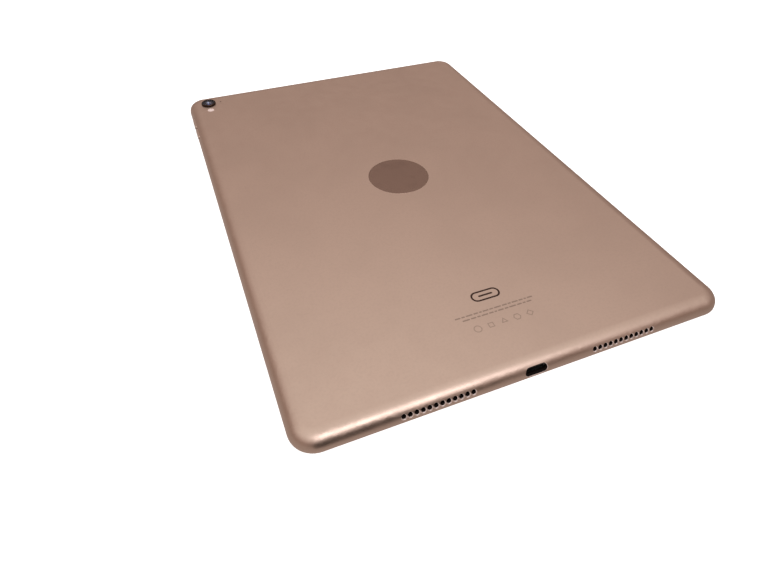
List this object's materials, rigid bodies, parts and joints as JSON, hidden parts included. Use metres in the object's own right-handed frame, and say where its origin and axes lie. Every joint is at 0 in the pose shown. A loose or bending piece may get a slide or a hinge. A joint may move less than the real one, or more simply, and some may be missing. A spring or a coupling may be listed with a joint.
{
  "type": "tablet computer",
  "caption": "Thin tablet computer with a metal back shell, glass front, home button, side buttons, raised rear camera, speaker grilles, charging port and headphone socket.",
  "frame": {"origin": "middle of the cover glass's front face, which the tablet lies on", "axes": "+Z from the glass to the metal back, +Y from the charging port to the camera end, +X to the right seen from behind with the camera end up"},
  "size_m": [0.1696, 0.2401, 0.007],
  "materials": {
    "housing_metal": "blasted and anodised",
    "polished_metal": "polished",
    "dark_metal": "polished",
    "button_metal": "satin",
    "cover_glass": "polished",
    "gasket_plastic": "matte",
    "adhesive": "tacky",
    "screen_glass": "gloss",
    "clear_plastic": "clear",
    "tray_metal": "satin",
    "sensor_cap": "gloss",
    "dark_plastic": "matte",
    "steel": "brushed",
    "dark_steel": "dark plated",
    "cable_jacket": "extruded",
    "print_ink": "printed",
    "bezel_ink": "printed",
    "lens_glass": "coated",
    "flash_plastic": "clear frosted",
    "barrel_plastic": "gloss",
    "speaker_plastic": "fine grain",
    "mesh_steel": "woven mesh",
    "foam": "closed cell foam",
    "gold_contact": "plated",
    "circuit_board": "solder mask",
    "chip_plastic": "moulded",
    "battery_pouch": "wrapped foil",
    "flex_film": "polyimide",
    "magnet_metal": "nickel plated",
    "connector_ivory": "moulded",
    "led_body": "moulded"
  },
  "bodies": {
    "root": {"accessory_contacts": "gold_contact", "accessory_insulator": "gasket_plastic", "antenna_cables": "cable_jacket", "antenna_modules": "speaker_plastic", "backlight_tray": "tray_metal", "battery_board": "circuit_board", "battery_cell_lower": "battery_pouch", "battery_cell_upper": "battery_pouch", "board_chips": "chip_plastic", "board_connectors": "connector_ivory", "board_screws": "steel", "board_shields": "steel", "bracket_screws": "steel", "button_brackets": "steel", "camera_actuator": "steel", "camera_cover_lens": "lens_glass", "camera_sensor_board": "circuit_board", "camera_trim_ring": "dark_metal", "connector_cover": "steel", "cover_glass": "cover_glass", "display_flexes": "flex_film", "display_panel": "screen_glass", "edge_magnets": "magnet_metal", "emblem_insert": "polished_metal", "flash_led": "led_body", "flash_lens": "flash_plastic", "front_camera": "dark_plastic", "glass_adhesive": "adhesive", "glass_gasket": "gasket_plastic", "headphone_jack_socket": "dark_plastic", "headphone_jack_trim": "button_metal", "home_button_bracket": "steel", "home_button_flex": "flex_film", "home_button_switch": "dark_plastic", "light_guide": "clear_plastic", "light_sensors": "chip_plastic", "logic_board": "circuit_board", "port_body": "dark_plastic", "port_contacts": "gold_contact", "port_flex": "flex_film", "port_shell": "dark_steel", "rear_camera_flex": "flex_film", "rear_housing": "housing_metal", "rear_microphone": "steel", "side_button_flex": "flex_film", "side_switches": "dark_plastic", "speaker_bottom_left": "speaker_plastic", "speaker_bottom_right": "speaker_plastic", "speaker_gaskets": "foam", "speaker_meshes": "mesh_steel", "speaker_top_left": "speaker_plastic", "speaker_top_right": "speaker_plastic", "upper_sensor_flex": "flex_film"},
    "home_button": {"home_button_cap": "sensor_cap", "home_button_ring": "button_metal", "fingerprint_sensor": "chip_plastic"},
    "volume_up": {"volume_up_button": "button_metal"},
    "volume_down": {"volume_down_button": "button_metal"},
    "power": {"power_button": "button_metal"},
    "lens_barrel": {"camera_lens_barrel": "barrel_plastic"}
  },
  "joints": [
    {"name": "home_button_press", "type": "slide", "parent": "root", "child": "home_button", "axis": [0, 0, 1], "range_m": [0, 0.00025], "stiffness_N_per_m": 1500, "springref_m": -0.001},
    {"name": "volume_up_press", "type": "slide", "parent": "root", "child": "volume_up", "axis": [1, 0, 0], "range_m": [0, 0.00025], "stiffness_N_per_m": 1500, "springref_m": -0.001},
    {"name": "volume_down_press", "type": "slide", "parent": "root", "child": "volume_down", "axis": [1, 0, 0], "range_m": [0, 0.00025], "stiffness_N_per_m": 1500, "springref_m": -0.001},
    {"name": "power_press", "type": "slide", "parent": "root", "child": "power", "axis": [0, -1, 0], "range_m": [0, 0.00025], "stiffness_N_per_m": 1500, "springref_m": -0.001},
    {"name": "lens_focus", "type": "slide", "parent": "root", "child": "lens_barrel", "axis": [0, 0, 1], "range_m": [0, 0.0003], "stiffness_N_per_m": 50, "springref_m": -0.0005}
  ]
}
